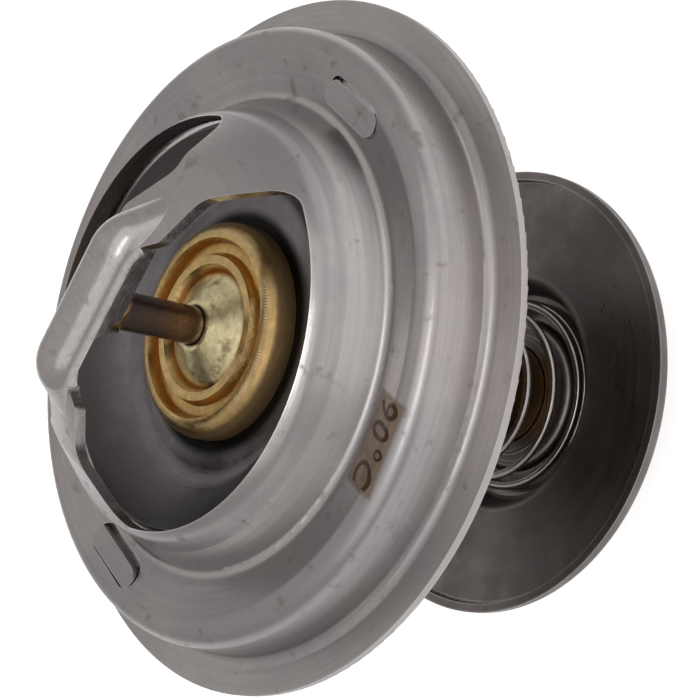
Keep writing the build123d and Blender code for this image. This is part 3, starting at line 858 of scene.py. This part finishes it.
def figures_mesh(mark):
    """The mark's figures, drawn flat, squeezed to their length, cut up and laid on the shoulder."""
    curve = bpy.data.curves.new("Figures", "FONT")
    curve.body = mark.text
    curve.size = mark.figure_height / CAPITAL_SHARE
    curve.align_x = "CENTER"
    curve.align_y = "CENTER"
    curve.space_character = FIGURE_SPACING
    curve.offset = FIGURE_SWELL
    drawing = bpy.data.objects.new("Figures", curve)
    mesh = bpy.data.meshes.new_from_object(drawing)
    bpy.data.objects.remove(drawing)
    bpy.data.curves.remove(curve)
    reach = [vertex.co.x for vertex in mesh.vertices]
    squeeze = mark.length / (max(reach) - min(reach))
    for vertex in mesh.vertices:
        vertex.co.x = (vertex.co.x - (min(reach) + max(reach)) / 2) * squeeze
    cut_into_cells(mesh, CELL)
    place_mark(mesh, mark)
    lay_on_pressing(mesh, FIGURE_LIFT)
    return mesh


def patch_mesh(mark):
    """The annealed patch behind the figures, with how far each point is inside its border."""
    length, width = mark.patch_length / 2, mark.patch_width / 2
    mesh = bpy.data.meshes.new("Temperature_Patch")
    corners = [(-length, -width, 0), (length, -width, 0), (length, width, 0), (-length, width, 0)]
    mesh.from_pydata(corners, [], [(0, 1, 2, 3)])
    cut_into_cells(mesh, CELL)
    inside = mesh.attributes.new("inside", "FLOAT", "POINT")
    for vertex, share in zip(mesh.vertices, inside.data):
        border = min(length - abs(vertex.co.x), width - abs(vertex.co.y))
        share.value = min(border / PATCH_BORDER, 1)
    place_mark(mesh, mark)
    lay_on_pressing(mesh, PATCH_LIFT)
    return mesh


# ---- operators ----------------------------------------------------------------------------------

class THERMOSTAT_OT_effects(bpy.types.Operator):
    """Build the shared effects: turned place, drawing lines, patches, scratches, worn edges"""

    bl_idname = "thermostat.effects"
    bl_label = "Build Shared Effects"

    def execute(self, context):
        build_effects()
        return {"FINISHED"}


class THERMOSTAT_OT_pressings(bpy.types.Operator):
    """Finish the flange with its bridge, and the lower frame"""

    bl_idname = "thermostat.pressings"
    bl_label = "Finish Pressings"

    def execute(self, context):
        steel = satin_steel(context.scene.thermostat_steel)
        finish_node("flange_bridge", steel)
        finish_node("lower_frame", steel)
        return {"FINISHED"}


class THERMOSTAT_OT_valve(bpy.types.Operator):
    """Finish the valve plate"""

    bl_idname = "thermostat.valve"
    bl_label = "Finish Valve Plate"

    def execute(self, context):
        finish_node("main_valve_plate", valve_steel(context.scene.thermostat_steel))
        return {"FINISHED"}


class THERMOSTAT_OT_element(bpy.types.Operator):
    """Finish the wax element: guide cup, can, pin and what is inside"""

    bl_idname = "thermostat.element"
    bl_label = "Finish Wax Element"

    def execute(self, context):
        steel = context.scene.thermostat_steel
        brass = context.scene.thermostat_brass
        finish_node("element_guide", guide_brass(brass))
        can = can_brass(brass)
        finish_node("element_can", can)
        finish_node("support_washer", can)
        finish_node("piston_pin", ground_pin(steel))
        finish_node("rubber_sleeve", soft_filling("Black Rubber", RUBBER, scale=0.5))
        finish_node("wax_charge", soft_filling("Copper Wax", WAX, scale=0.8))
        return {"FINISHED"}


class THERMOSTAT_OT_bypass(bpy.types.Operator):
    """Finish the bypass disc and the clip that holds it"""

    bl_idname = "thermostat.bypass"
    bl_label = "Finish Bypass Disc"

    def execute(self, context):
        disc = smoky_steel(context.scene.thermostat_steel)
        finish_node("bypass_disc", disc)
        finish_node("retaining_clip", disc)
        return {"FINISHED"}


class THERMOSTAT_OT_springs(bpy.types.Operator):
    """Wind the main spring and the bypass spring"""

    bl_idname = "thermostat.springs"
    bl_label = "Wind Springs"

    def execute(self, context):
        scene = context.scene
        wire = spring_steel(scene.thermostat_steel)
        windings = (
            ("Main_Spring", "main_spring", scene.thermostat_main_spring, "frame", "valve"),
            ("Bypass_Spring", "bypass_spring", scene.thermostat_bypass_spring, "bypass", "valve"),
        )
        for name, node, winding, lower, upper in windings:
            low, high = (corner.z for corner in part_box(node))
            piece = add_piece(name, wound_wire(name, winding, low, high), wire)
            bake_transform(piece)
            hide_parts(node)
        return {"FINISHED"}


class THERMOSTAT_OT_mark(bpy.types.Operator):
    """Anneal the opening temperature into the shoulder"""

    bl_idname = "thermostat.mark"
    bl_label = "Anneal Temperature Mark"

    def execute(self, context):
        mark = context.scene.thermostat_mark
        patch = annealed("Annealed Patch", mark.patch_colour, soft=True)
        figures = annealed("Annealed Figures", mark.figure_colour, soft=False)
        add_piece("Temperature_Patch", patch_mesh(mark), patch, "frame")
        add_piece("Temperature_Figures", figures_mesh(mark), figures, "frame")
        return {"FINISHED"}


def add_camera(studio):
    """Camera on the object's own azimuth, elevation and roll."""
    data = bpy.data.cameras.new("Camera")
    data.lens = studio.lens
    data.sensor_width = SENSOR_WIDTH
    data.clip_start = NEAREST
    camera = bpy.data.objects.new("Camera", data)
    bpy.context.scene.collection.objects.link(camera)
    away = Vector((
        cos(studio.elevation) * cos(studio.azimuth),
        cos(studio.elevation) * sin(studio.azimuth),
        sin(studio.elevation),
    ))
    level = Euler((pi / 2 - studio.elevation, 0, pi / 2 + studio.azimuth)).to_matrix()
    turn = level @ Matrix.Rotation(studio.roll, 3, "Z")
    place = Matrix.Translation(Vector(studio.aim) + away * studio.distance)
    camera.matrix_world = place @ turn.to_4x4()
    bpy.context.scene.camera = camera


def softbox(name, azimuth, elevation, distance, width, height, power):
    """Area lamp that faces the origin from an azimuth and elevation in degrees."""
    data = bpy.data.lights.new(name, "AREA")
    data.shape = "RECTANGLE"
    data.size = width
    data.size_y = height
    data.energy = power
    lamp = bpy.data.objects.new(name, data)
    bpy.context.scene.collection.objects.link(lamp)
    turn, rise = radians(azimuth), radians(elevation)
    away = Vector((cos(rise) * cos(turn), cos(rise) * sin(turn), sin(rise)))
    lamp.location = away * distance
    lamp.rotation_euler = lamp.location.to_track_quat("Z", "Y").to_euler()
    lamp.visible_camera = False


def light_room(studio):
    """Plain room: dimmer walls, brighter ceiling."""
    world = bpy.data.worlds.new("Studio Room")
    world.use_nodes = True
    bpy.context.scene.world = world
    tree = world.node_tree
    parts = add(tree, "ShaderNodeSeparateXYZ")
    tree.links.new(add(tree, "ShaderNodeTexCoord").outputs["Generated"], parts.inputs[0])
    rise = between(tree, parts.outputs["Z"], 0.0, 1.0)
    light = tinted(tree, rise, studio.horizon, studio.ceiling)
    tree.links.new(light, tree.nodes["Background"].inputs["Color"])


def stroke(name):
    """How far a sliding joint goes from rest."""
    return next(joint["range_m"][1] for joint in frame["joints"] if joint["name"] == name)


def lay_floor(studio):
    """Pale floor, just below the disc when the valve is open, that keeps the object's shadow."""
    material = bpy.data.materials.new("Pale Floor")
    material.use_nodes = True
    tree = material.node_tree
    shader = tree.nodes["Principled BSDF"]
    shader.inputs["Base Color"].default_value = (*studio.floor, 1)
    shader.inputs["Roughness"].default_value = 0.9
    shader.inputs["Specular IOR Level"].default_value = 0
    rays = add(tree, "ShaderNodeLightPath").outputs
    seen = mixed_sum(tree, (rays["Is Camera Ray"], 1.0), (rays["Is Glossy Ray"], FLOOR_IN_METAL))
    glow = maths(tree, "MULTIPLY", seen, studio.floor_glow)
    shader.inputs["Emission Color"].default_value = (1, 1, 1, 1)
    tree.links.new(glow, shader.inputs["Emission Strength"])
    mesh = bpy.data.meshes.new("Floor")
    level = cad_bounds[0][2] - stroke("valve_lift") - FLOOR_GAP
    signs = ((-1, -1), (1, -1), (1, 1), (-1, 1))
    corners = [(x * FLOOR_REACH, y * FLOOR_REACH, level) for x, y in signs]
    mesh.from_pydata(corners, [], [(0, 1, 2, 3)])
    floor = add_piece("Floor", mesh, material)


class THERMOSTAT_OT_studio(bpy.types.Operator):
    """Set up the floor, the room, the lamps and the camera"""

    bl_idname = "thermostat.studio"
    bl_label = "Build Studio"

    def execute(self, context):
        studio = context.scene.thermostat_studio
        add_camera(studio)
        light_room(studio)
        lay_floor(studio)
        softbox("Key Softbox", azimuth=22, elevation=45, distance=0.35,
                width=0.28, height=0.06, power=studio.key_power)
        softbox("Window Softbox", azimuth=25, elevation=50, distance=0.35,
                width=0.85, height=0.36, power=studio.window_power)
        softbox("Fill Softbox", azimuth=60, elevation=4, distance=0.38,
                width=0.95, height=0.22, power=studio.fill_power)
        context.scene.view_settings.view_transform = "Standard"
        return {"FINISHED"}


STEPS = (
    THERMOSTAT_OT_effects,
    THERMOSTAT_OT_pressings,
    THERMOSTAT_OT_valve,
    THERMOSTAT_OT_element,
    THERMOSTAT_OT_bypass,
    THERMOSTAT_OT_springs,
    THERMOSTAT_OT_mark,
    THERMOSTAT_OT_studio,
)


class THERMOSTAT_PT_panel(bpy.types.Panel):
    """Lists the steps"""

    bl_label = "Engine Thermostat"
    bl_idname = "THERMOSTAT_PT_panel"
    bl_space_type = "VIEW_3D"
    bl_region_type = "UI"
    bl_category = "Thermostat"

    def draw(self, context):
        for step in STEPS:
            self.layout.operator(step.bl_idname)


SETTINGS = {
    "thermostat_steel": SteelSettings,
    "thermostat_brass": BrassSettings,
    "thermostat_main_spring": MainSpringSettings,
    "thermostat_bypass_spring": BypassSpringSettings,
    "thermostat_mark": MarkSettings,
    "thermostat_studio": StudioSettings,
}


def register():
    for name, settings in SETTINGS.items():
        bpy.utils.register_class(settings)
        setattr(bpy.types.Scene, name, bpy.props.PointerProperty(type=settings))
    for cls in (*STEPS, THERMOSTAT_PT_panel):
        bpy.utils.register_class(cls)


def unregister():
    for cls in reversed((*STEPS, THERMOSTAT_PT_panel)):
        bpy.utils.unregister_class(cls)
    for name, settings in reversed(SETTINGS.items()):
        delattr(bpy.types.Scene, name)
        bpy.utils.unregister_class(settings)


def main():
    register()
    bpy.ops.thermostat.effects()
    bpy.ops.thermostat.pressings()
    bpy.ops.thermostat.valve()
    bpy.ops.thermostat.element()
    bpy.ops.thermostat.bypass()
    bpy.ops.thermostat.springs()
    bpy.ops.thermostat.mark()
    bpy.ops.thermostat.studio()


if __name__ == "__main__":
    main()
